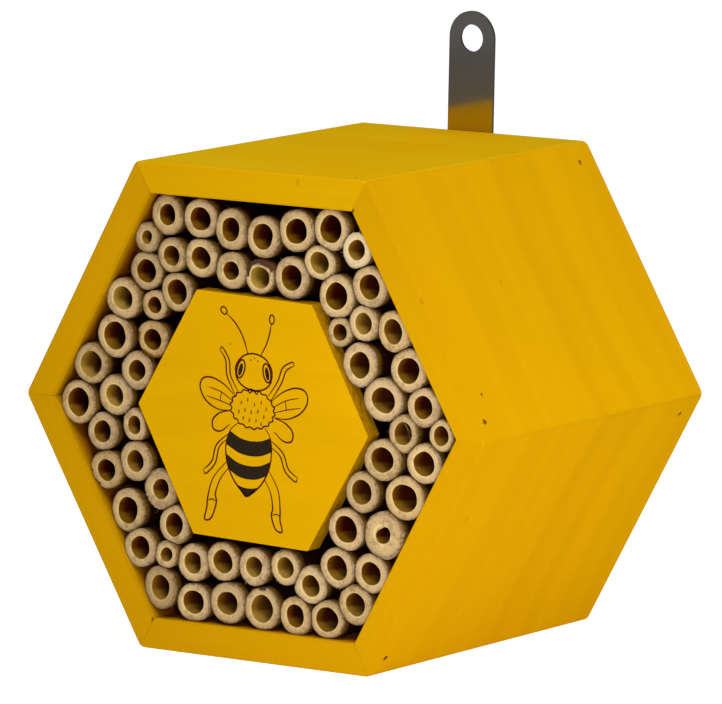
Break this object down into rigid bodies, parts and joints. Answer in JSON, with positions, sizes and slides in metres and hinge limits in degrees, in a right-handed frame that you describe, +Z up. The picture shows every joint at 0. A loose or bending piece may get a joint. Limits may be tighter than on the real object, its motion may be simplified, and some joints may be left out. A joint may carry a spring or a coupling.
{
  "type": "insect hotel",
  "caption": "Hexagonal wooden insect hotel packed with bamboo canes, with a hexagonal centre plate and a steel hanging strap.",
  "frame": {"origin": "middle of the bottom of the bounding box: the foot of the bottom board stands on z = 0", "axes": "+Z up, -Y out of the open front that shows the canes, +X to the right seen from the front"},
  "size_m": [0.179, 0.121, 0.1949],
  "materials": {
    "frame_paint": "satin yellow paint",
    "plate_paint": "satin yellow paint with a printed line drawing",
    "panel_paint": "satin yellow paint",
    "bamboo": "bare sawn bamboo",
    "stained_pine": "planed pine stained dark brown",
    "strap_steel": "polished",
    "screw_zinc": "zinc plated",
    "brad_steel": "plain"
  },
  "bodies": {
    "root": {"board_top": "frame_paint", "board_upper_right": "frame_paint", "board_lower_right": "frame_paint", "board_bottom": "frame_paint", "board_lower_left": "frame_paint", "board_upper_left": "frame_paint", "back_panel": "panel_paint", "centre_post": "stained_pine", "centre_plate": "plate_paint", "hanger_strap": "strap_steel", "hanger_screws": "screw_zinc", "post_screws": "screw_zinc", "frame_brads": "brad_steel", "cane_01": "bamboo", "cane_02": "bamboo", "cane_03": "bamboo", "cane_04": "bamboo", "cane_05": "bamboo", "cane_06": "bamboo", "cane_07": "bamboo", "cane_08": "bamboo", "cane_09": "bamboo", "cane_10": "bamboo", "cane_11": "bamboo", "cane_12": "bamboo", "cane_13": "bamboo", "cane_14": "bamboo", "cane_15": "bamboo", "cane_16": "bamboo", "cane_17": "bamboo", "cane_18": "bamboo", "cane_19": "bamboo", "cane_20": "bamboo", "cane_21": "bamboo", "cane_22": "bamboo", "cane_23": "bamboo", "cane_24": "bamboo", "cane_25": "bamboo", "cane_26": "bamboo", "cane_27": "bamboo", "cane_28": "bamboo", "cane_29": "bamboo", "cane_30": "bamboo", "cane_pair_31_32": "bamboo", "cane_pair_33_34": "bamboo", "cane_pair_35_36": "bamboo", "cane_pair_37_38": "bamboo", "cane_pair_39_40": "bamboo", "cane_pair_41_42": "bamboo", "cane_pair_43_44": "bamboo", "cane_pair_45_46": "bamboo", "cane_pair_47_48": "bamboo", "cane_pair_49_50": "bamboo", "cane_pair_51_52": "bamboo", "cane_pair_53_54": "bamboo", "cane_pair_55_56": "bamboo", "cane_pair_57_58": "bamboo", "cane_pair_59_60": "bamboo", "cane_pair_61_62": "bamboo", "cane_pair_63_64": "bamboo"}
  },
  "joints": []
}
